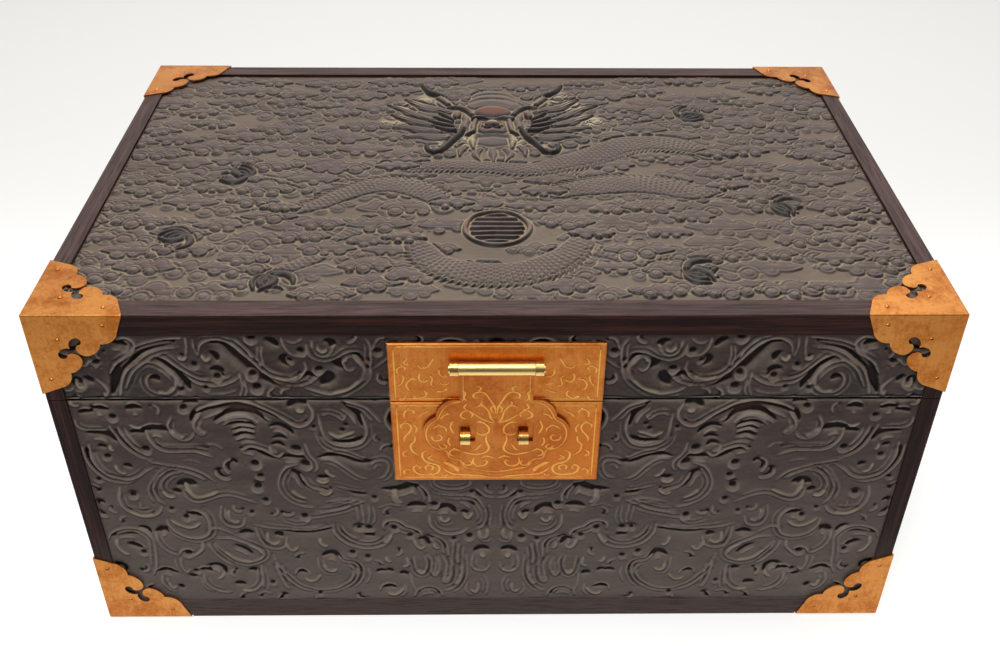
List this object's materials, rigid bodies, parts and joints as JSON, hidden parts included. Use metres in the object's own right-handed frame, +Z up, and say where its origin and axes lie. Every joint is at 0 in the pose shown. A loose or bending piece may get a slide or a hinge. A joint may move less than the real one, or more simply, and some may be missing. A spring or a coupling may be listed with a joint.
{
  "type": "carved keepsake box",
  "caption": "Rectangular carved hardwood box with a hinged lid, scalloped brass corner mounts and a cloud-shaped hasp on an engraved lock plate.",
  "frame": {"origin": "middle of the box's flat underside", "axes": "+X to the right along the front, +Y from the front to the back, +Z up"},
  "size_m": [0.4014, 0.2728, 0.1943],
  "materials": {
    "carved_wood": "waxed carving",
    "frame_wood": "waxed",
    "mount_brass": "aged satin",
    "plate_brass": "engraved, aged satin",
    "bright_brass": "polished"
  },
  "bodies": {
    "base": {"base_front_panel": "carved_wood", "base_back_panel": "carved_wood", "base_right_panel": "carved_wood", "base_left_panel": "carved_wood", "base_post_front_right": "frame_wood", "base_post_front_left": "frame_wood", "base_post_back_right": "frame_wood", "base_post_back_left": "frame_wood", "base_rail_front": "frame_wood", "base_rail_back": "frame_wood", "base_rail_right": "frame_wood", "base_rail_left": "frame_wood", "base_floor_board": "frame_wood", "base_corner_front_right": "mount_brass", "base_corner_front_left": "mount_brass", "base_corner_back_right": "mount_brass", "base_corner_back_left": "mount_brass", "base_corner_nails": "bright_brass", "lock_plate_lower": "plate_brass", "staple_left": "bright_brass", "staple_right": "bright_brass", "hinge_left_base_leaf": "plate_brass", "hinge_right_base_leaf": "plate_brass", "hinge_left_pin": "bright_brass", "hinge_right_pin": "bright_brass", "hinge_base_nails": "bright_brass"},
    "lid": {"lid_front_panel": "carved_wood", "lid_back_panel": "carved_wood", "lid_right_panel": "carved_wood", "lid_left_panel": "carved_wood", "lid_post_front_right": "frame_wood", "lid_post_front_left": "frame_wood", "lid_post_back_right": "frame_wood", "lid_post_back_left": "frame_wood", "lid_rail_front": "frame_wood", "lid_rail_back": "frame_wood", "lid_rail_right": "frame_wood", "lid_rail_left": "frame_wood", "lid_top_panel": "carved_wood", "lid_corner_front_right": "mount_brass", "lid_corner_front_left": "mount_brass", "lid_corner_back_right": "mount_brass", "lid_corner_back_left": "mount_brass", "lid_corner_nails": "bright_brass", "lock_plate_upper": "plate_brass", "hasp_collar_left": "bright_brass", "hasp_collar_right": "bright_brass", "hasp_pin": "bright_brass", "hinge_left_lid_leaf": "plate_brass", "hinge_right_lid_leaf": "plate_brass", "hinge_lid_nails": "bright_brass"},
    "hasp": {"hasp": "plate_brass"}
  },
  "joints": [
    {"name": "lid_hinge", "type": "hinge", "parent": "base", "child": "lid", "pos_m": [0, 0.1311, 0.1464], "axis": [-1, 0, 0], "range_deg": [0, 104]},
    {"name": "hasp_hinge", "type": "hinge", "parent": "lid", "child": "hasp", "pos_m": [0, -0.1331, 0.1682], "axis": [-1, 0, 0], "range_deg": [0, 180]}
  ]
}
